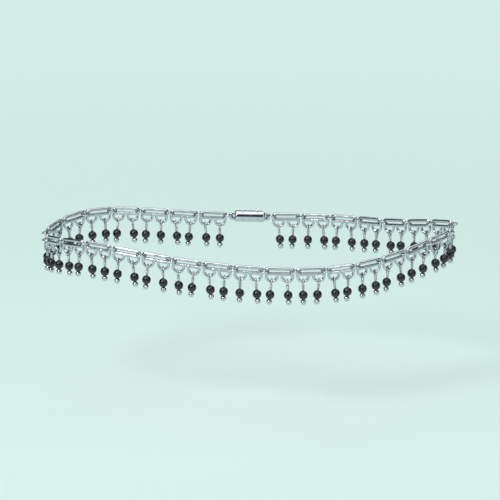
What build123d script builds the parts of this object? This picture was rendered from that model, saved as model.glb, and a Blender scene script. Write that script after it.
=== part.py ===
from build123d import *

import os
from math import asin, degrees, sin

# A payal anklet in the form it has when worn: a chain of flat oval links with a row of small
# rings soldered under it, and in each ring a pin with a black bead and a silver ball.
# Millimetres. +X points to the heel, -Y to the inner side of the ankle, +Z up. The origin is the
# middle of the ankle opening, level with the middle of the chain.

# The loop's centre line on the inner side of the ankle, from the instep to the heel. It is blunt
# over the instep, widest a little behind the middle and narrow at the tendon, and it rides high
# at both ends. The outer side is the same.
loop_stations = [
    # x, half width, height
    (-51.0, 0.0, 0.2),
    (-46.5, 10.5, 1.5),
    (-38.0, 17.0, 2.1),
    (-25.0, 21.5, 0.7),
    (-8.0, 24.8, -1.1),
    (8.0, 26.2, -1.8),
    (21.0, 24.4, -1.7),
    (33.0, 17.2, -0.9),
    (43.0, 9.4, 0.9),
    (49.0, 3.6, 2.2),
]
heel = (50.6, 0.0, 2.5)

# Chain
link_count = 31
link_height = 2.06
link_wire = 0.80
link_gap = 0.24  # between the ends of two long links
joining_ring_hole = 2.10
joining_ring_wire = 0.30
level_share = 0.1  # how firmly a joining ring keeps level

# Rings soldered under the long links, two to a link
drop_ring_size = 3.30
drop_ring_wire = 0.68
drop_ring_centre = -1.23  # below the middle of the chain

# Ball pin and bead
loop_hole = 0.90
loop_wire = 0.38
neck_top = 0.74
neck_foot = 0.56
neck_length = 1.55
pin_wire = 0.36
bead_size = 2.15
bead_bore = 0.52
ball_size = 1.45
small_gap = 0.04

# How far the pins swing to either side, how much they turn, and the step of the uneven sequence
swing = 6.5
turn = 10.0
uneven_step = 2.4

# Clasp
clasp_span = 11.0  # between the middles of the two joining rings that hold it
barrel_length = 7.6
barrel_width = 2.9
barrel_round = 0.5
groove_depth = 0.12
groove_width = 0.4

links_per_group = 4
close_enough = 1e-7

# The closed centre line, from the heel along the outer side and back along the inner side
outer_side = [(x, width, height) for x, width, height in reversed(loop_stations)]
inner_side = [(x, -width, height) for x, width, height in loop_stations[1:]]
loop_points = [Vector(*point) for point in (heel, *outer_side, *inner_side)]
loop = Edge.make_spline(loop_points, periodic=True)


def route(share):
    """A point of the loop's centre line: 0 and 1 are the heel, 0.25 the outer side's middle."""
    return loop @ (share % 1)


def next_share(share, chord):
    """Where the loop is one straight chord further on, which is less than a tenth of the way."""
    low, high = share, share + 0.1
    while (high - low) * loop.length > close_enough:
        middle = (low + high) / 2
        if (route(middle) - route(share)).length < chord:
            low = middle
        else:
            high = middle
    return high


def joint_shares(pitch):
    """Where all the joints lie, from one end of the clasp round to the other."""
    shares = [clasp_end]
    for _ in range(link_count):
        shares.append(next_share(shares[-1], pitch))
    return shares


# The clasp stands in the middle of the outer side, and the long links share out the rest evenly
clasp_end = next_share(0.25, clasp_span / 2)
shortest, longest = 0.9 * loop.length / link_count, loop.length / link_count
while longest - shortest > close_enough:
    pitch = (shortest + longest) / 2
    last = joint_shares(pitch)[-1]
    if last < clasp_end + 1 and (route(clasp_end) - route(last)).length > clasp_span:
        shortest = pitch
    else:
        longest = pitch
joints = [route(share) for share in joint_shares(pitch)]


def stand(start, end):
    """The plane half-way between two joints: X along the chain, Z as upright as that allows."""
    run = end - start
    side = Vector(-run.Y, run.X, 0)
    return Plane(origin=(start + end) / 2, x_dir=run, z_dir=run.cross(side))


link_planes = [stand(start, end) for start, end in zip(joints, joints[1:])]
clasp_plane = stand(joints[-1], joints[0])

# Each joining ring lies in the plane of the two pieces that it joins, and flat where they are in
# line. The level share keeps it from rolling over where they nearly are.
ring_places = []
neighbours = zip(joints, [clasp_plane, *link_planes], [*link_planes, clasp_plane])
for joint, before, after in neighbours:
    run = before.x_dir + after.x_dir
    side = Vector(-run.Y, run.X, 0)
    flat = run.cross(side).normalized() * level_share
    ring_places.append(Plane(joint, x_dir=run, z_dir=flat + before.x_dir.cross(after.x_dir)).location)

# Long link: an oval of round wire standing in the XZ plane, with two open rings soldered to its
# lower wire, their ends inside it
link_length = pitch - link_gap
bow_radius = (link_height - link_wire) / 2
half_straight = (link_length - link_height) / 2
drop_ring_radius = (drop_ring_size - drop_ring_wire) / 2
ring_spacing = pitch / 2
rise = degrees(asin((-bow_radius - drop_ring_centre) / drop_ring_radius))

with BuildPart() as link_form:
    with BuildLine(Plane.XZ) as oval:
        Line((-half_straight, bow_radius), (half_straight, bow_radius))
        CenterArc((half_straight, 0), bow_radius, 90, -180)
        Line((half_straight, -bow_radius), (-half_straight, -bow_radius))
        CenterArc((-half_straight, 0), bow_radius, -90, -180)
    with BuildSketch(Plane(origin=(-half_straight, 0, bow_radius), z_dir=(1, 0, 0))):
        Circle(link_wire / 2)
    sweep(path=oval.wires()[0])
    for side in (-ring_spacing / 2, ring_spacing / 2):
        with BuildLine(Plane.XZ) as open_ring:
            CenterArc((side, drop_ring_centre), drop_ring_radius, rise, -180 - 2 * rise)
        with BuildSketch(Plane(origin=open_ring.line @ 0, z_dir=open_ring.line % 0)):
            Circle(drop_ring_wire / 2)
        sweep(path=open_ring.line)

# Joining ring: round, lying in the XY plane
with BuildPart() as joining_ring_form:
    Torus((joining_ring_hole + joining_ring_wire) / 2, joining_ring_wire / 2)

# Ball pin, hanging down -Z from the middle of a soldered ring's lower wire. Its loop goes round
# that wire, its neck tapers down to the bead, and its wire goes through the bead to the ball.
loop_centre = drop_ring_wire / 2 + small_gap - loop_hole / 2
neck_start = loop_centre - (loop_hole + loop_wire) / 2
neck_end = neck_start - neck_length
bead_half_height = (bead_size**2 - bead_bore**2) ** 0.5 / 2
bead_centre = neck_end - small_gap - bead_half_height
ball_crown = (ball_size**2 - bead_bore**2) ** 0.5 / 2
ball_centre = bead_centre - bead_half_height - small_gap - ball_crown
upwards = (Align.CENTER, Align.CENTER, Align.MIN)

with BuildPart() as pin_form:
    with Locations(Location((0, 0, loop_centre), (0, 90, 0))):
        Torus((loop_hole + loop_wire) / 2, loop_wire / 2)
    with Locations((0, 0, neck_end)):
        Cone(neck_foot / 2, neck_top / 2, neck_length, align=upwards)
    with Locations((0, 0, ball_centre)):
        Cylinder(pin_wire / 2, neck_end - ball_centre, align=upwards)
        Sphere(ball_size / 2)

# Black bead on that pin's wire: a round bead, flat only where its bore comes out
with BuildPart() as bead_form:
    with Locations((0, 0, bead_centre)):
        Sphere(bead_size / 2)
        Cylinder(bead_bore / 2, bead_size, mode=Mode.SUBTRACT)

# Clasp: a closed screw barrel along X, with two turned grooves, and at each end an eye shaped
# like the end of a long link
eye_centre = (clasp_span - link_gap - link_height) / 2

with BuildPart() as clasp_form:
    Cylinder(barrel_width / 2, barrel_length, rotation=(0, 90, 0))
    fillet(clasp_form.edges().filter_by(GeomType.CIRCLE), barrel_round)
    for side in (-1, 1):
        with BuildSketch(Plane.YZ.offset(side * (barrel_length - groove_width) / 4)):
            Circle(barrel_width / 2)
            Circle(barrel_width / 2 - groove_depth, mode=Mode.SUBTRACT)
        extrude(amount=groove_width, mode=Mode.SUBTRACT)
        inside = side * (barrel_length / 2 - barrel_round)
        with BuildLine(Plane.XZ) as eye:
            top = Line((inside, bow_radius), (side * eye_centre, bow_radius))
            CenterArc((side * eye_centre, 0), bow_radius, 90, -180 * side)
            Line((side * eye_centre, -bow_radius), (inside, -bow_radius))
        with BuildSketch(Plane(origin=top @ 0, z_dir=top % 0)):
            Circle(link_wire / 2)
        sweep(path=eye.wires()[0])

# The drops hang plumb under both rings of every long link, each swung and turned a little
drop_places = []
for link_plane in link_planes:
    for side in (-ring_spacing / 2, ring_spacing / 2):
        order = len(drop_places)
        hang = link_plane.from_local_coords((side, 0, drop_ring_centre - drop_ring_radius))
        level = Vector(link_plane.x_dir.X, link_plane.x_dir.Y, 0)
        plumb = Plane(hang, x_dir=level, z_dir=(0, 0, 1))
        swung = Location((0, 0, 0), (0, swing * sin(uneven_step * order), 0))
        turned = Location((0, 0, 0), (0, 0, turn * sin(uneven_step * order**2)))
        drop_places.append(plumb.location * swung * turned)

os.makedirs("parts", exist_ok=True)


def write(part, name):
    """Label one finished piece and write it under its name."""
    part.label = name
    export_step(part, f"parts/{name}.step")


def write_groups(form, places, name, size):
    """Write copies of one small piece at their places, size of them to a file."""
    for group, first in enumerate(range(0, len(places), size), 1):
        with BuildPart() as pieces:
            with Locations(*places[first : first + size]):
                add(form.part)
        write(pieces.part, f"{name}_{group}")


for number, link_plane in enumerate(link_planes, 1):
    with BuildPart() as long_link:
        with Locations(link_plane.location):
            add(link_form.part)
    write(long_link.part, f"long_link_{number:02}")

with BuildPart() as clasp:
    with Locations(clasp_plane.location):
        add(clasp_form.part)
write(clasp.part, "clasp")

write_groups(joining_ring_form, ring_places, "joining_rings", links_per_group)
write_groups(pin_form, drop_places, "ball_pins", 2 * links_per_group)
write_groups(bead_form, drop_places, "black_beads", 2 * links_per_group)

turns = [one.x_dir.get_angle(next_one.x_dir) for one, next_one in zip(link_planes, link_planes[1:])]
depth = link_height / 2 - drop_ring_centre + drop_ring_radius - ball_centre + ball_size / 2
print("loop", round(loop.length, 1), "mm, link pitch", round(pitch, 2), "mm")
print(len(drop_places), "drops, from the chain's top to the ball's foot", round(depth, 2), "mm")
print("sharpest turn from link to link", round(max(turns), 1), "degrees")
forms = {"link": link_form, "ring": joining_ring_form, "pin": pin_form, "bead": bead_form}
for name, form in {**forms, "clasp": clasp_form}.items():
    print(name, form.part.is_valid, len(form.part.solids()), "solid", round(form.part.volume, 2))
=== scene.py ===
import math

import bmesh
import bpy
import numpy as np
from mathutils import Matrix, Vector


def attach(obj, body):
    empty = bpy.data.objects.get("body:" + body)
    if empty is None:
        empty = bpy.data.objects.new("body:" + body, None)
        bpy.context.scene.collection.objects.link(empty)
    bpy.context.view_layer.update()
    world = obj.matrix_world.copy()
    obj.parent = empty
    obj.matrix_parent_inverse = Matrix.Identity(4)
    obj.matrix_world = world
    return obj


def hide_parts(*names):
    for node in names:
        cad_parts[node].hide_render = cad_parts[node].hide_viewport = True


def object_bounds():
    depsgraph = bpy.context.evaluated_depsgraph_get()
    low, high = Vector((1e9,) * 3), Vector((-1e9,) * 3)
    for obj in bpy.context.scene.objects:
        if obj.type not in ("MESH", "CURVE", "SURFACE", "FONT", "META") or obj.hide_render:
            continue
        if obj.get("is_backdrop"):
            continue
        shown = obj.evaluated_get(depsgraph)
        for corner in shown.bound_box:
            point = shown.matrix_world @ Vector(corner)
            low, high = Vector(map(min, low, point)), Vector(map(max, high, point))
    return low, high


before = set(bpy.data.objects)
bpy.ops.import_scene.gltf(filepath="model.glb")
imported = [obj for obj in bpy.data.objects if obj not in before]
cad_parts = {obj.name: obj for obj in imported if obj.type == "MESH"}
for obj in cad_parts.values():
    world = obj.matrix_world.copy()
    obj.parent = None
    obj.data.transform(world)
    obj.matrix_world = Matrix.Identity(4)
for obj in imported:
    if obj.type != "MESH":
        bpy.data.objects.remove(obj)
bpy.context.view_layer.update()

mm = 0.001  # sizes in the dictionaries are millimetres, the scene is in metres
creaseAngle = math.radians(42)  # sharper edges than this stay crisp
seam = {"merge": 0.004, "sliver": 0.002}  # how close points along a soldered seam become one
print("frame loaded:", len(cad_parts), "nodes")


def nodePoints(*nodes):
    # all mesh points of some CAD nodes, in millimetres
    clouds = []
    for node in nodes:
        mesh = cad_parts[node].data
        flat = np.zeros(len(mesh.vertices) * 3)
        mesh.vertices.foreach_get("co", flat)
        clouds.append(flat.reshape(-1, 3) / mm)
    return np.vstack(clouds)


def boxMiddle(points):
    return Vector((points.min(axis=0) + points.max(axis=0)) / 2)


def separateRings(points, reach):
    # the middle and the upward normal of every ring: each is narrower than reach, and its
    # neighbours are further away than that
    rings = []
    while len(points):
        near = np.linalg.norm(points - points[0], axis=1) < reach
        solid, points = points[near], points[~near]
        normal = Vector(np.linalg.svd(solid - solid.mean(axis=0), full_matrices=False)[2][2])
        rings.append((boxMiddle(solid), normal if normal.z > 0 else -normal))
    return rings


def groupNodes(name):
    return sorted(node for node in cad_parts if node.startswith(name))


def stand(start, end):
    # a frame half-way between two joints: X along the chain, Z as upright as that allows
    along = (end - start).normalized()
    side = Vector((-along.y, along.x, 0)).normalized()
    up = along.cross(side)
    turn = Matrix((along, side, up)).transposed().to_4x4()
    return Matrix.Translation((start + end) / 2) @ turn


chain = {"ringReach": 3.6, "gap": 0.24}

ringNodes = groupNodes("joining_rings")
linkNodes = groupNodes("long_link")
pinNodes = groupNodes("ball_pins")
beadNodes = groupNodes("black_beads")

claspMiddle = boxMiddle(nodePoints("clasp"))
claspAngle = math.atan2(claspMiddle.y, claspMiddle.x)
rings = separateRings(nodePoints(*ringNodes), chain["ringReach"])
rings.sort(key=lambda ring: (math.atan2(ring[0].y, ring[0].x) - claspAngle) % math.tau)
joints = [middle for middle, normal in rings]

linkPlaces = [stand(start, end) for start, end in zip(joints, joints[1:])]
claspPlace = stand(joints[-1], joints[0])
pitch = sum((end - start).length for start, end in zip(joints, joints[1:])) / len(linkPlaces)


# the mesh helpers work in millimetres, and finishPiece turns their result into metres
def tubeInto(bm, path, radii, sides, closed=False):
    # a round wire along the points of path, with a radius for each point
    path = [Vector(point) for point in path]
    count = len(path)
    tangents = []
    for i in range(count):
        before = path[i - 1] if closed or i else path[i]
        after = path[(i + 1) % count] if closed or i < count - 1 else path[i]
        tangents.append((after - before).normalized())
    normal = tangents[0].orthogonal().normalized()
    rows = []
    for i, (point, tangent, radius) in enumerate(zip(path, tangents, radii)):
        if i:
            normal.rotate(tangents[i - 1].rotation_difference(tangent))
        across = tangent.cross(normal)
        row = []
        for k in range(sides):
            angle = math.tau * k / sides
            spoke = math.cos(angle) * normal + math.sin(angle) * across
            row.append(bm.verts.new(point + radius * spoke))
        rows.append(row)
    pairs = list(zip(rows, rows[1:])) + ([(rows[-1], rows[0])] if closed else [])
    for row, nextRow in pairs:
        for k in range(sides):
            m = (k + 1) % sides
            bm.faces.new((row[k], row[m], nextRow[m], nextRow[k]))
    if not closed:
        bm.faces.new(list(reversed(rows[0])))
        bm.faces.new(rows[-1])


def latheInto(bm, profile, steps, turn=Matrix(), ripple=None):
    # a closed profile of (radius, height) turned round Z: ripple adds to the radius, for a height
    # and an angle
    rows = []
    for radius, height in profile:
        row = []
        for k in range(steps if radius else 1):
            angle = math.tau * k / steps
            reach = radius + (ripple(height, angle) if ripple else 0)
            point = Vector((reach * math.cos(angle), reach * math.sin(angle), height))
            row.append(bm.verts.new(turn @ point))
        rows.append(row)
    closed = profile[0][0] > 0
    pairs = list(zip(rows, rows[1:])) + ([(rows[-1], rows[0])] if closed else [])
    for low, high in pairs:
        for k in range(steps):
            m = (k + 1) % steps
            corners = [low[k % len(low)], low[m % len(low)], high[m % len(high)], high[k % len(high)]]
            bm.faces.new([v for i, v in enumerate(corners) if v not in corners[:i]])


def circlePath(middle, radius, first, last, steps, plane="XZ"):
    # points of an arc in degrees, in the XZ, YZ or XY plane
    points = []
    for k in range(steps):
        angle = math.radians(first + (last - first) * k / (steps - 1))
        run, rise = radius * math.cos(angle), radius * math.sin(angle)
        offsets = {"XZ": (run, 0, rise), "YZ": (0, run, rise), "XY": (run, rise, 0)}
        points.append(Vector(middle) + Vector(offsets[plane]))
    return points


def meshOf(bm, name):
    bmesh.ops.recalc_face_normals(bm, faces=bm.faces)
    mesh = bpy.data.meshes.new(name)
    bm.to_mesh(mesh)
    bm.free()
    return mesh


def modified(mesh, kind, **settings):
    # the mesh after one modifier
    holder = bpy.data.objects.new(mesh.name, mesh)
    bpy.context.collection.objects.link(holder)
    modifier = holder.modifiers.new(kind, kind)
    for key, value in settings.items():
        setattr(modifier, key, value)
    evaluated = holder.evaluated_get(bpy.context.evaluated_depsgraph_get())
    result = bpy.data.meshes.new_from_object(evaluated)
    bpy.data.objects.remove(holder)
    return result


def soldered(meshes):
    # closed forms that overlap become one skin
    result, *others = meshes
    for other in others:
        tool = bpy.data.objects.new("tool", other)
        bpy.context.collection.objects.link(tool)
        result = modified(result, "BOOLEAN", operation="UNION", solver="EXACT", object=tool)
        bpy.data.objects.remove(tool)
    bm = bmesh.new()
    bm.from_mesh(result)
    bmesh.ops.remove_doubles(bm, verts=bm.verts, dist=seam["merge"])
    bmesh.ops.dissolve_degenerate(bm, edges=bm.edges, dist=seam["sliver"])
    bmesh.ops.triangulate(bm, faces=[face for face in bm.faces if len(face.verts) > 4])
    bm.to_mesh(result)
    bm.free()
    return result


def joined(copies, name):
    # one mesh of many copies, each given as a mesh and its place
    bm = bmesh.new()
    for mesh, place in copies:
        copy = mesh.copy()
        copy.transform(place)
        bm.from_mesh(copy)
        bpy.data.meshes.remove(copy)
    result = bpy.data.meshes.new(name)
    bm.to_mesh(result)
    bm.free()
    return result


def finishPiece(name, mesh, materials, slot, *nodes):
    mesh.transform(Matrix.Scale(mm, 4))
    mesh.materials.clear()
    for material in materials:
        mesh.materials.append(material)
    mesh.shade_smooth()
    mesh.set_sharp_from_angle(angle=creaseAngle)
    piece = bpy.data.objects.new(name, mesh)
    bpy.context.collection.objects.link(piece)
    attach(piece, "root")
    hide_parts(*nodes)
    return piece


def addNode(tree, kind, inputs=None, **settings):
    node = tree.nodes.new(kind)
    for key, value in settings.items():
        setattr(node, key, value)
    for key, value in (inputs or {}).items():
        if isinstance(value, bpy.types.NodeSocket):
            tree.links.new(value, node.inputs[key])
        else:
            node.inputs[key].default_value = value
    return node


def newGroup(name, inputs, outputs):
    group = bpy.data.node_groups.new(name, "ShaderNodeTree")
    for socket, value in inputs.items():
        made = group.interface.new_socket(socket, in_out="INPUT", socket_type="NodeSocketFloat")
        made.default_value = value
    for socket in outputs:
        group.interface.new_socket(socket, in_out="OUTPUT", socket_type="NodeSocketFloat")
    return group, group.nodes.new("NodeGroupInput"), group.nodes.new("NodeGroupOutput")


def makeTarnishAndShadeGroup():
    # darkening in hollows, found by ambient occlusion and broken into patches: painted shade, with some
    # tarnish
    group, given, result = newGroup("tarnishAndShade", {"Reach": 0.0006, "Cloudiness": 300.0}, ["Mask"])
    place = addNode(group, "ShaderNodeTexCoord")
    hollow = addNode(group, "ShaderNodeAmbientOcclusion", {"Distance": given.outputs["Reach"]}, samples=8)
    clouds = addNode(group, "ShaderNodeTexNoise", {
        "Vector": place.outputs["Object"], "Scale": given.outputs["Cloudiness"],
        "Detail": 4.0, "Roughness": 0.6})
    inside = addNode(group, "ShaderNodeMapRange", {
        "Value": hollow.outputs["AO"], "From Min": 0.9, "From Max": 0.4, "To Min": 0.0, "To Max": 1.0})
    patchy = addNode(group, "ShaderNodeMapRange", {
        "Value": clouds.outputs["Fac"], "From Min": 0.35, "From Max": 0.75, "To Min": 0.55, "To Max": 1.0})
    mask = addNode(group, "ShaderNodeMath", {0: inside.outputs["Result"], 1: patchy.outputs["Result"]},
                   operation="MULTIPLY", use_clamp=True)
    group.links.new(mask.outputs["Value"], result.inputs["Mask"])
    return group


def makeHandlingGroup():
    # soft dents from the hand, hairline scratches and finger smudges
    group, given, result = newGroup(
        "handling", {"Dent Scale": 700.0, "Scratch Scale": 2500.0, "Scratches": 0.3}, ["Smudge", "Height"])
    place = addNode(group, "ShaderNodeTexCoord")
    dents = addNode(group, "ShaderNodeTexNoise", {
        "Vector": place.outputs["Object"], "Scale": given.outputs["Dent Scale"], "Detail": 1.0})
    stretched = addNode(group, "ShaderNodeMapping", {
        "Vector": place.outputs["Object"], "Rotation": (0.4, 0.9, 0.3), "Scale": (1.0, 0.06, 1.0)})
    lines = addNode(group, "ShaderNodeTexNoise", {
        "Vector": stretched.outputs["Vector"], "Scale": given.outputs["Scratch Scale"], "Detail": 2.0})
    smudges = addNode(group, "ShaderNodeTexNoise", {
        "Vector": place.outputs["Object"], "Scale": 260.0, "Detail": 5.0, "Roughness": 0.65})
    fine = addNode(group, "ShaderNodeMath", {0: lines.outputs["Fac"], 1: given.outputs["Scratches"]},
                   operation="MULTIPLY")
    height = addNode(group, "ShaderNodeMath", {0: dents.outputs["Fac"], 1: fine.outputs["Value"]},
                     operation="ADD")
    smudge = addNode(group, "ShaderNodeMapRange", {
        "Value": smudges.outputs["Fac"], "From Min": 0.4, "From Max": 0.7})
    group.links.new(smudge.outputs["Result"], result.inputs["Smudge"])
    group.links.new(height.outputs["Value"], result.inputs["Height"])
    return group


def addGroup(tree, group, **values):
    node = tree.nodes.new("ShaderNodeGroup")
    node.node_tree = group
    for key, value in values.items():
        node.inputs[key].default_value = value
    return node


silver = {
    "clean": (0.61, 0.63, 0.67, 1),
    # the dark colour below is painted shade in hollows, with some tarnish
    "tarnishedAndShaded": (0.10, 0.10, 0.11, 1),
    "tarnishAndShadeReach": 0.0016,  # in metres, as the shader wants it
    "cloudiness": 350.0,
    "wire": {"roughness": (0.14, 0.34), "dents": 0.03, "tarnishAndShade": 0.85},
    "polished": {"roughness": (0.07, 0.22), "dents": 0.01, "tarnishAndShade": 0.6},
}
glass = {
    "body": (0.004, 0.004, 0.006, 1),
    "smudged": (0.010, 0.010, 0.013, 1),
    "bend": 1.6,  # index of refraction
    "roughness": (0.03, 0.09),
    "dents": 0.006,
    "scratches": 0.1,
}


def makeSilver(name, finish):
    material = bpy.data.materials.new(name)
    material.use_nodes = True
    tree = material.node_tree
    shader = tree.nodes["Principled BSDF"]
    shader.inputs["Metallic"].default_value = 1.0
    # hollows turn towards a near-black colour: painted shade, with some tarnish
    tarnishAndShade = addGroup(
        tree, tarnishAndShadeGroup, Reach=silver["tarnishAndShadeReach"], Cloudiness=silver["cloudiness"])
    handling = addGroup(tree, handlingGroup)
    tarnishAndShadeShare = addNode(tree, "ShaderNodeMath", {0: tarnishAndShade.outputs["Mask"], 1: finish["tarnishAndShade"]},
                   operation="MULTIPLY")
    colour = addNode(tree, "ShaderNodeMix", {"Factor": tarnishAndShadeShare.outputs["Value"]}, data_type="RGBA")
    colour.inputs["A"].default_value = silver["clean"]
    colour.inputs["B"].default_value = silver["tarnishedAndShaded"]
    dull = addNode(tree, "ShaderNodeMath", {0: tarnishAndShadeShare.outputs["Value"], 1: handling.outputs["Smudge"]},
                   operation="MAXIMUM")
    gloss = addNode(tree, "ShaderNodeMapRange", {
        "Value": dull.outputs["Value"], "To Min": finish["roughness"][0], "To Max": finish["roughness"][1]})
    bump = addNode(tree, "ShaderNodeBump", {
        "Height": handling.outputs["Height"], "Strength": 1.0, "Distance": finish["dents"] * mm})
    tree.links.new(colour.outputs["Result"], shader.inputs["Base Color"])
    tree.links.new(gloss.outputs["Result"], shader.inputs["Roughness"])
    tree.links.new(bump.outputs["Normal"], shader.inputs["Normal"])
    return material


def makeBlackGlass():
    material = bpy.data.materials.new("black glass")
    material.use_nodes = True
    tree = material.node_tree
    shader = tree.nodes["Principled BSDF"]
    shader.inputs["IOR"].default_value = glass["bend"]
    handling = addGroup(tree, handlingGroup, Scratches=glass["scratches"])
    colour = addNode(tree, "ShaderNodeMix", {"Factor": handling.outputs["Smudge"]}, data_type="RGBA")
    colour.inputs["A"].default_value = glass["body"]
    colour.inputs["B"].default_value = glass["smudged"]
    gloss = addNode(tree, "ShaderNodeMapRange", {
        "Value": handling.outputs["Smudge"],
        "To Min": glass["roughness"][0], "To Max": glass["roughness"][1]})
    bump = addNode(tree, "ShaderNodeBump", {
        "Height": handling.outputs["Height"], "Strength": 1.0, "Distance": glass["dents"] * mm})
    tree.links.new(colour.outputs["Result"], shader.inputs["Base Color"])
    tree.links.new(gloss.outputs["Result"], shader.inputs["Roughness"])
    tree.links.new(bump.outputs["Normal"], shader.inputs["Normal"])
    return material


tarnishAndShadeGroup = makeTarnishAndShadeGroup()
handlingGroup = makeHandlingGroup()
silverWire = makeSilver("silver wire", silver["wire"])
silverPolished = makeSilver("polished silver", silver["polished"])
blackGlass = makeBlackGlass()
print("materials made")


# long links: an oval of wire with two rings soldered under it
link = {
    "height": 2.06, "wire": 0.80, "ringSize": 3.30, "ringWire": 0.68, "ringCentre": -1.23,
    "solder": 0.16,  # how far the solder runs up from a seam
    "solderSpread": 0.3,  # by what share that differs from link to link
    "unevenAlong": (0.012, 2.1),  # waves drawn into the wire: depth, and how close they lie
    "unevenUp": (0.008, 5.3),
    "bowSteps": 20, "sides": 16, "ringSteps": 30, "ringSides": 14,
    "meshStep": 0.12,
    "settleRounds": 5,
    "masters": 3,
}
bowRadius = (link["height"] - link["wire"]) / 2
halfStraight = (pitch - chain["gap"] - link["height"]) / 2
ringRadius = (link["ringSize"] - link["ringWire"]) / 2
ringEndZ = -bowRadius - link["ringCentre"]  # the rings are open, and end inside the lower wire
ringEndX = math.sqrt(ringRadius**2 - ringEndZ**2)


def meltedTogether(distances, run):
    # the smooth union of several distance fields: run is how far one melts into the next
    result = distances[0]
    for other in distances[1:]:
        blend = np.clip(run - np.abs(result - other), 0, None) / run
        result = np.minimum(result, other) - blend**2 * run / 4
    return result


def linkField(points, seed):
    # signed distance from the skin of a soldered long link
    x, y, z = points.T
    past = x - np.clip(x, -halfStraight, halfStraight)
    alongDepth, alongPace = link["unevenAlong"]
    upDepth, upPace = link["unevenUp"]
    unevenWire = alongDepth * np.sin(alongPace * x + 5 * seed) + upDepth * np.sin(upPace * z + seed)
    oval = np.hypot(np.hypot(past, z) - bowRadius, y) - link["wire"] / 2 + unevenWire
    skins = [oval]
    for side in (-1, 1):
        ringX = x - side * pitch / 4
        ringZ = z - link["ringCentre"]
        offLine = np.where(ringZ < ringEndZ, np.hypot(ringX, ringZ) - ringRadius,
                           np.hypot(np.abs(ringX) - ringEndX, ringZ - ringEndZ))
        skins.append(np.hypot(offLine, y) - link["ringWire"] / 2)
    return meltedTogether(skins, link["solder"] * (1 + link["solderSpread"] * math.sin(7 * seed)))


def ontoField(mesh, field):
    # moves the mesh points onto the zero of a distance field and takes the normals from it
    points = np.zeros(len(mesh.vertices) * 3)
    mesh.vertices.foreach_get("co", points)
    points = points.reshape(-1, 3)
    small = 1e-4  # the step for measuring a slope
    for _ in range(link["settleRounds"]):
        slope = np.stack([
            (field(points + small * axis) - field(points - small * axis)) / (2 * small) for axis in np.eye(3)
        ], axis=1)
        points -= slope * (field(points) / (slope**2).sum(axis=1))[:, None]
    mesh.vertices.foreach_set("co", points.ravel())
    mesh.update()


def makeLinkMaster(seed):
    bm = bmesh.new()
    right = circlePath((halfStraight, 0, 0), bowRadius, 90, -90, link["bowSteps"])
    left = circlePath((-halfStraight, 0, 0), bowRadius, 270, 90, link["bowSteps"])
    oval = right + left
    tubeInto(bm, oval, [link["wire"] / 2] * len(oval), link["sides"], closed=True)
    for side in (-1, 1):
        rise = math.degrees(math.asin(ringEndZ / ringRadius))
        middle = (side * pitch / 4, 0, link["ringCentre"])
        loop = circlePath(middle, ringRadius, rise, -180 - rise, link["ringSteps"])
        tubeInto(bm, loop, [link["ringWire"] / 2] * len(loop), link["ringSides"])
    rough = meshOf(bm, "link")
    skin = modified(rough, "REMESH", mode="VOXEL", voxel_size=link["meshStep"])
    ontoField(skin, lambda points: linkField(points, seed))
    return skin


linkMasters = [makeLinkMaster(seed) for seed in range(link["masters"])]
for number, (node, place) in enumerate(zip(linkNodes, linkPlaces)):
    mesh = linkMasters[number % link["masters"]].copy()
    flip = Matrix.Rotation(math.pi * (number % 2), 4, "Z")
    mesh.transform(place @ flip)
    finishPiece(f"soldered_link_{number + 1:02}", mesh, [silverWire], "silver", node)
print("long links", len(linkPlaces), "faces each", len(linkMasters[0].polygons))


# joining rings, sawn through and closed again
joiningRing = {
    "hole": 2.10, "wire": 0.30, "cut": 0.03, "steps": 36, "sides": 12,
    "eased": 0.44,  # radius of a sawn end, as a share of the wire's thickness
    "cutTurn": 2.4,  # how far round the cut moves from one ring to the next
    "perNode": 4,
}


def makeRingMaster():
    # the sawn ends are eased
    bm = bmesh.new()
    radius = (joiningRing["hole"] + joiningRing["wire"]) / 2
    cut = math.degrees(joiningRing["cut"] / 2 / radius)
    ends = circlePath((0, 0, 0), radius, cut, 360 - cut, 2, "XY")
    body = circlePath((0, 0, 0), radius, 2 * cut, 360 - 2 * cut, joiningRing["steps"], "XY")
    full, eased = joiningRing["wire"] / 2, joiningRing["wire"] * joiningRing["eased"]
    tubeInto(bm, [ends[0], *body, ends[1]], [eased, *[full] * len(body), eased], joiningRing["sides"])
    return meshOf(bm, "ring")


ringMaster = makeRingMaster()
ringPlaces = []
for number, (joint, normal) in enumerate(rings):
    lie = Vector((0, 0, 1)).rotation_difference(normal).to_matrix().to_4x4()
    cutTurn = Matrix.Rotation(joiningRing["cutTurn"] * number, 4, "Z")
    ringPlaces.append(Matrix.Translation(joint) @ lie @ cutTurn)
for number, node in enumerate(ringNodes):
    first = number * joiningRing["perNode"]
    places = ringPlaces[first:first + joiningRing["perNode"]]
    mesh = joined([(ringMaster, place) for place in places], "rings")
    finishPiece(f"jump_rings_{number + 1}", mesh, [silverWire], "silver", node)
print("joining rings", len(ringPlaces))


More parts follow.
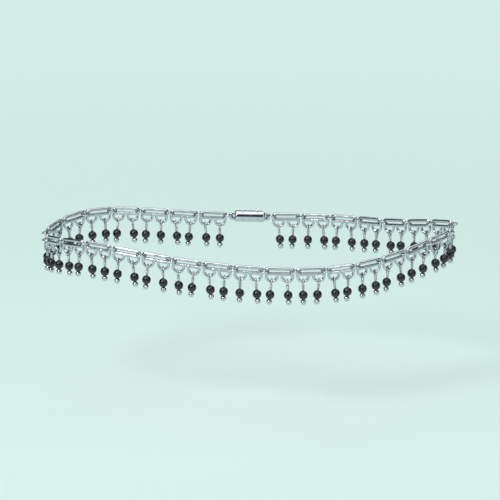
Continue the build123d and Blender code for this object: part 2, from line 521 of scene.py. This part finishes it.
# drops: a pin with a bead on it, hung in each soldered ring
drop = {
    "gap": 0.04, "loopHole": 0.90, "loopWire": 0.38, "wire": 0.36,
    "neckTop": 0.74, "neckFoot": 0.56, "neckLength": 1.55,
    "beadSize": 2.15, "bore": 0.52, "ballSize": 1.45, "ballSolder": 0.07,
    "mouthEase": 0.05, "mouthFlare": 0.015, "mouthLip": 0.01, "mouthDepth": 0.06,
    "neckRows": 44, "sides": 22, "ballSteps": 14, "loopSteps": 28, "loopSides": 12,
    "beadSteps": 16, "beadSides": 28,
    "turn": 10.0, "unevenStep": 2.4,
    "wrapDepth": 0.1,
    "pressedTurns": 0.7,  # over how many turns a wrap's end is pressed in
    "perNode": 8,
    "wraps": [(6, 0.0), (5, 2.0), (6, 4.0)],  # turns of wire, and where round the neck they start
    "beadShapes": [1.0, 0.92, 1.06],  # under 1 is nearer a barrel, over 1 nearer a spindle
}
loopCentre = link["ringWire"] / 2 + drop["gap"] - drop["loopHole"] / 2
neckStart = loopCentre - (drop["loopHole"] + drop["loopWire"]) / 2
neckEnd = neckStart - drop["neckLength"]
beadHalf = math.sqrt(drop["beadSize"]**2 - drop["bore"]**2) / 2
beadCentre = neckEnd - drop["gap"] - beadHalf
ballCrown = math.sqrt(drop["ballSize"]**2 - drop["bore"]**2) / 2
ballCentre = beadCentre - beadHalf - drop["gap"] - ballCrown

hangs = []
for place in linkPlaces:
    for side in (-1, 1):
        hangs.append((place @ Vector((side * pitch / 4, 0, link["ringCentre"] - ringRadius)),
                      place.to_3x3().col[0].copy()))
beadPoints = nodePoints(*beadNodes)
expected = np.array([hang + Vector((0, 0, beadCentre)) for hang, _ in hangs])
nearest = np.linalg.norm(beadPoints[:, None] - expected[None], axis=2).argmin(axis=1)
dropPlaces = []
for order, (hang, along) in enumerate(hangs):
    up = (hang - boxMiddle(beadPoints[nearest == order])).normalized()
    side = up.cross(along).normalized()
    turn = Matrix((side.cross(up), side, up)).transposed().to_4x4()
    turned = math.radians(drop["turn"] * math.sin(drop["unevenStep"] * order**2))
    yaw = Matrix.Rotation(turned, 4, "Z")
    dropPlaces.append(Matrix.Translation(hang) @ turn @ yaw)


def neckRadius(height):
    share = (height - neckEnd) / drop["neckLength"]
    return (drop["neckFoot"] + (drop["neckTop"] - drop["neckFoot"]) * share) / 2


def pinProfile():
    # ball, wire and the wrapped neck, from the foot up
    ball, wire = drop["ballSize"] / 2, drop["wire"] / 2
    shoulder = math.degrees(math.acos((wire + drop["ballSolder"]) / ball))
    profile = [(0, ballCentre - ball)]
    for k in range(1, drop["ballSteps"] + 1):
        angle = math.radians(-90 + (90 + shoulder) * k / drop["ballSteps"])
        profile.append((ball * math.cos(angle), ballCentre + ball * math.sin(angle)))
    profile.append((wire, profile[-1][1] + drop["ballSolder"]))
    profile.append((wire, neckEnd))
    rows = drop["neckRows"]
    for k in range(rows + 1):
        height = neckEnd + drop["neckLength"] * k / rows
        profile.append((neckRadius(height) - drop["wrapDepth"], height))
    profile.append((0, neckStart))
    return profile


def makePinMaster(turns, firstAngle):
    def wrap(height, angle):
        # a helix of wire wound round the neck: how far it stands out of the valley between two turns
        share = (height - neckEnd) / drop["neckLength"]
        turn = share * turns - (angle - firstAngle) / math.tau
        wire = math.sqrt(1 - (2 * (turn % 1) - 1)**2)
        pressed = min(1, min(share, 1 - share) * turns / drop["pressedTurns"])
        return drop["wrapDepth"] * wire * max(0, pressed)

    stem, loop = bmesh.new(), bmesh.new()
    latheInto(stem, pinProfile(), drop["sides"], ripple=wrap)
    radius = (drop["loopHole"] + drop["loopWire"]) / 2
    steps = drop["loopSteps"]
    circle = circlePath((0, 0, loopCentre), radius, 0, 360 * (steps - 1) / steps, steps, "YZ")
    tubeInto(loop, circle, [drop["loopWire"] / 2] * steps, drop["loopSides"], closed=True)
    pin = soldered([meshOf(stem, "pin"), meshOf(loop, "loop")])
    for face in pin.polygons:
        face.material_index = int(face.center.z < ballCentre + drop["ballSize"] / 2)
    return pin


def makeBeadMaster(squash):
    # wound glass: a touch barrel-shaped, with eased bore mouths
    bm = bmesh.new()
    outside = drop["beadSize"] / 2
    bore = drop["bore"] / 2
    profile = []
    mouth = math.asin((bore + drop["mouthEase"]) / outside)
    for k in range(drop["beadSteps"] + 1):
        angle = mouth + (math.pi - 2 * mouth) * k / drop["beadSteps"]
        reach = outside * math.sin(angle)**squash
        profile.append((reach, -beadHalf * math.cos(angle) / math.cos(mouth)))
    flared = bore + drop["mouthFlare"]
    lip, deep = beadHalf - drop["mouthLip"], beadHalf - drop["mouthDepth"]
    profile += [(flared, lip), (bore, deep), (bore, -deep), (flared, -lip)]
    latheInto(bm, [(radius, height + beadCentre) for radius, height in profile], drop["beadSides"])
    return meshOf(bm, "bead")


pinMasters = [makePinMaster(turns, firstAngle) for turns, firstAngle in drop["wraps"]]
beadMasters = [makeBeadMaster(shape) for shape in drop["beadShapes"]]
for number, (pinNode, beadNode) in enumerate(zip(pinNodes, beadNodes)):
    first = number * drop["perNode"]
    pins, beads = [], []
    for order, place in enumerate(dropPlaces[first:first + drop["perNode"]], first):
        pins.append((pinMasters[order % len(pinMasters)], place))
        beads.append((beadMasters[order * order % len(beadMasters)], place))
    pinMesh, beadMesh = joined(pins, "pins"), joined(beads, "beads")
    finishPiece(f"drop_pins_{number + 1}", pinMesh, [silverWire, silverPolished], "silver", pinNode)
    finishPiece(f"glass_beads_{number + 1}", beadMesh, [blackGlass], "black_glass", beadNode)
print("drops", len(dropPlaces), "faces in a pin", len(pinMasters[0].polygons))


clasp = {
    "length": 7.6, "width": 2.9, "round": 0.5, "groove": 0.12, "grooveWidth": 0.4, "seam": 0.05,
    "softShare": 0.15,  # the slope at each side of a groove, as a share of its width
    "roundSteps": 5, "sides": 40,
}


def makeClasp():
    half, radius = clasp["length"] / 2, clasp["width"] / 2
    end = [(0, -half)]
    for k in range(clasp["roundSteps"] + 1):
        angle = math.radians(90 * k / clasp["roundSteps"])
        inward = clasp["round"] * (1 - math.sin(angle))
        end.append((radius - inward, -half + clasp["round"] * (1 - math.cos(angle))))
    profile = list(end)
    grooves = [
        # middle, width, depth
        (-clasp["length"] / 4, clasp["grooveWidth"], clasp["groove"]),
        (0, clasp["seam"] * 2, clasp["seam"]),
        (clasp["length"] / 4, clasp["grooveWidth"], clasp["groove"]),
    ]
    for middle, width, depth in grooves:
        soft = width * clasp["softShare"]
        profile += [(radius, middle - width / 2), (radius - depth, middle - width / 2 + soft),
                    (radius - depth, middle + width / 2 - soft), (radius, middle + width / 2)]
    profile += [(reach, -height) for reach, height in reversed(end)]
    barrel = bmesh.new()
    latheInto(barrel, profile, clasp["sides"], Matrix.Rotation(math.pi / 2, 4, "Y"))
    meshes = [meshOf(barrel, "barrel")]
    eyeCentre = ((joints[-1] - joints[0]).length - chain["gap"] - link["height"]) / 2
    inside = half - clasp["round"]
    for side in (-1, 1):
        eye = bmesh.new()
        bow = circlePath((side * eyeCentre, 0, 0), bowRadius, 90, 90 - 180 * side, link["bowSteps"])
        path = [(side * inside, 0, bowRadius), *bow, (side * inside, 0, -bowRadius)]
        tubeInto(eye, path, [link["wire"] / 2] * len(path), link["sides"])
        meshes.append(meshOf(eye, "eye"))
    return soldered(meshes)


claspMesh = makeClasp()
claspMesh.transform(claspPlace)
finishPiece("screw_clasp", claspMesh, [silverPolished], "silver", "clasp")
print("clasp made")


# floor, air and lamps
studio = {
    "drop": 40 * mm,  # from the chain's middle down to the floor
    "floorRadius": 4.0,
    "floorPaintedPoolColour": (0.70, 0.87, 0.83, 1),
    "floorAway": (0.65, 0.84, 0.785, 1),
    "paintedLightPool": 0.16,  # radius of the paler middle, a painted pool of light
    "fade": (0.12, 0.45),  # over this stretch the floor turns into the horizon
    "horizon": (0.655, 0.845, 0.798, 1),
    "darkBand": (0.05, 0.057, 0.068, 1),  # the unlit room between the horizon and the ceiling light
    "ceiling": (1.0, 1.0, 1.0, 1),
    "ceilingStrength": 1.65,
    "bandFrom": (0.02, 0.07),  # heights between which the horizon turns into the dark band
    "bandTo": (0.76, 0.84),  # and the dark band into the ceiling
    "ceilingFrom": 0.6,  # height from which the light grows stronger
    "lamps": [
        {"name": "key", "place": (-0.55, -0.75, 0.75), "size": (0.4, 0.4), "power": 6.5},
        {"name": "front", "place": (0.75, -0.95, 0.55), "size": (0.30, 0.80), "power": 2.0},
        {"name": "rear", "place": (0.45, 1.00, 0.70), "size": (0.60, 0.40), "power": 2.2},
    ],
}


def makeFloor():
    bm = bmesh.new()
    bmesh.ops.create_circle(bm, cap_ends=True, segments=96, radius=studio["floorRadius"])
    mesh = meshOf(bm, "floor")
    floor = bpy.data.objects.new("floor", mesh)
    bpy.context.collection.objects.link(floor)
    floor.location.z = -studio["drop"]
    material = bpy.data.materials.new("floor")
    material.use_nodes = True
    tree = material.node_tree
    shader = tree.nodes["Principled BSDF"]
    shader.inputs["Roughness"].default_value = 1.0
    shader.inputs["Specular IOR Level"].default_value = 0.0
    place = addNode(tree, "ShaderNodeTexCoord")
    away = addNode(tree, "ShaderNodeVectorMath", {0: place.outputs["Object"]}, operation="LENGTH")
    # the floor's colour is paler round the middle: a painted pool of light
    paintedLightPool = addNode(tree, "ShaderNodeMapRange", {
        "Value": away.outputs["Value"], "From Max": studio["paintedLightPool"]}, interpolation_type="SMOOTHSTEP")
    colour = addNode(tree, "ShaderNodeMix", {"Factor": paintedLightPool.outputs["Result"]}, data_type="RGBA")
    colour.inputs["A"].default_value = studio["floorPaintedPoolColour"]
    colour.inputs["B"].default_value = studio["floorAway"]
    tree.links.new(colour.outputs["Result"], shader.inputs["Base Color"])

    # far out the floor shows the horizon's colour to the eye and to metal and glass
    fade = addNode(tree, "ShaderNodeMapRange", {
        "Value": away.outputs["Value"], "From Min": studio["fade"][0], "From Max": studio["fade"][1]},
        interpolation_type="SMOOTHSTEP")
    rays = addNode(tree, "ShaderNodeLightPath")
    mirrored = addNode(tree, "ShaderNodeMath", {
        0: rays.outputs["Is Glossy Ray"], 1: rays.outputs["Is Transmission Ray"]}, operation="MAXIMUM")
    seen = addNode(tree, "ShaderNodeMath", {
        0: rays.outputs["Is Camera Ray"], 1: mirrored.outputs["Value"]}, operation="MAXIMUM")
    share = addNode(tree, "ShaderNodeMath", {
        0: fade.outputs["Result"], 1: seen.outputs["Value"]}, operation="MULTIPLY")
    glow = addNode(tree, "ShaderNodeEmission", {"Color": studio["horizon"]})
    blend = addNode(tree, "ShaderNodeMixShader", {
        "Fac": share.outputs["Value"], 1: shader.outputs["BSDF"], 2: glow.outputs["Emission"]})
    tree.links.new(blend.outputs["Shader"], tree.nodes["Material Output"].inputs["Surface"])
    mesh.materials.append(material)
    floor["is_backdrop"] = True


def makeAir():
    world = bpy.data.worlds.new("studio air")
    bpy.context.scene.world = world
    world.use_nodes = True
    tree = world.node_tree
    background = tree.nodes["Background"]
    place = addNode(tree, "ShaderNodeTexCoord")
    axes = addNode(tree, "ShaderNodeSeparateXYZ", {"Vector": place.outputs["Generated"]})
    ramp = addNode(tree, "ShaderNodeValToRGB", {"Fac": axes.outputs["Z"]})
    stops = ramp.color_ramp.elements
    stops[0].position, stops[0].color = studio["bandFrom"][0], studio["horizon"]
    stops[1].position, stops[1].color = studio["bandTo"][1], studio["ceiling"]
    for position in (studio["bandFrom"][1], studio["bandTo"][0]):
        stops.new(position).color = studio["darkBand"]
    lift = addNode(tree, "ShaderNodeMapRange", {
        "Value": axes.outputs["Z"], "From Min": studio["ceilingFrom"], "From Max": studio["bandTo"][1],
        "To Min": 1.0, "To Max": studio["ceilingStrength"]})
    tree.links.new(ramp.outputs["Color"], background.inputs["Color"])
    tree.links.new(lift.outputs["Result"], background.inputs["Strength"])


def makeLamp(lamp):
    light = bpy.data.lights.new(lamp["name"], "AREA")
    light.shape = "RECTANGLE"
    light.size, light.size_y = lamp["size"]
    light.energy = lamp["power"]
    holder = bpy.data.objects.new(lamp["name"], light)
    bpy.context.collection.objects.link(holder)
    holder.location = lamp["place"]
    holder.rotation_euler = (-Vector(lamp["place"])).to_track_quat("-Z", "Y").to_euler()


makeFloor()
makeAir()
for lamp in studio["lamps"]:
    makeLamp(lamp)
print("studio made")


view = {"elevation": 15.0, "distance": 0.9, "width": 0.123, "sensor": 36, "clip": (0.01, 20)}


def makeCamera():
    low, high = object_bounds()
    middle = (low + high) / 2
    tilt = math.radians(view["elevation"])
    back = Vector((0, -math.cos(tilt), math.sin(tilt)))
    camera = bpy.data.cameras.new("camera")
    camera.sensor_width = view["sensor"]
    camera.lens = camera.sensor_width * view["distance"] / view["width"]
    camera.clip_start, camera.clip_end = view["clip"]
    holder = bpy.data.objects.new("camera", camera)
    bpy.context.collection.objects.link(holder)
    holder.location = middle + back * view["distance"]
    holder.rotation_euler = (-back).to_track_quat("-Z", "Y").to_euler()
    bpy.context.scene.camera = holder


makeCamera()
bpy.context.scene.view_settings.view_transform = "Standard"
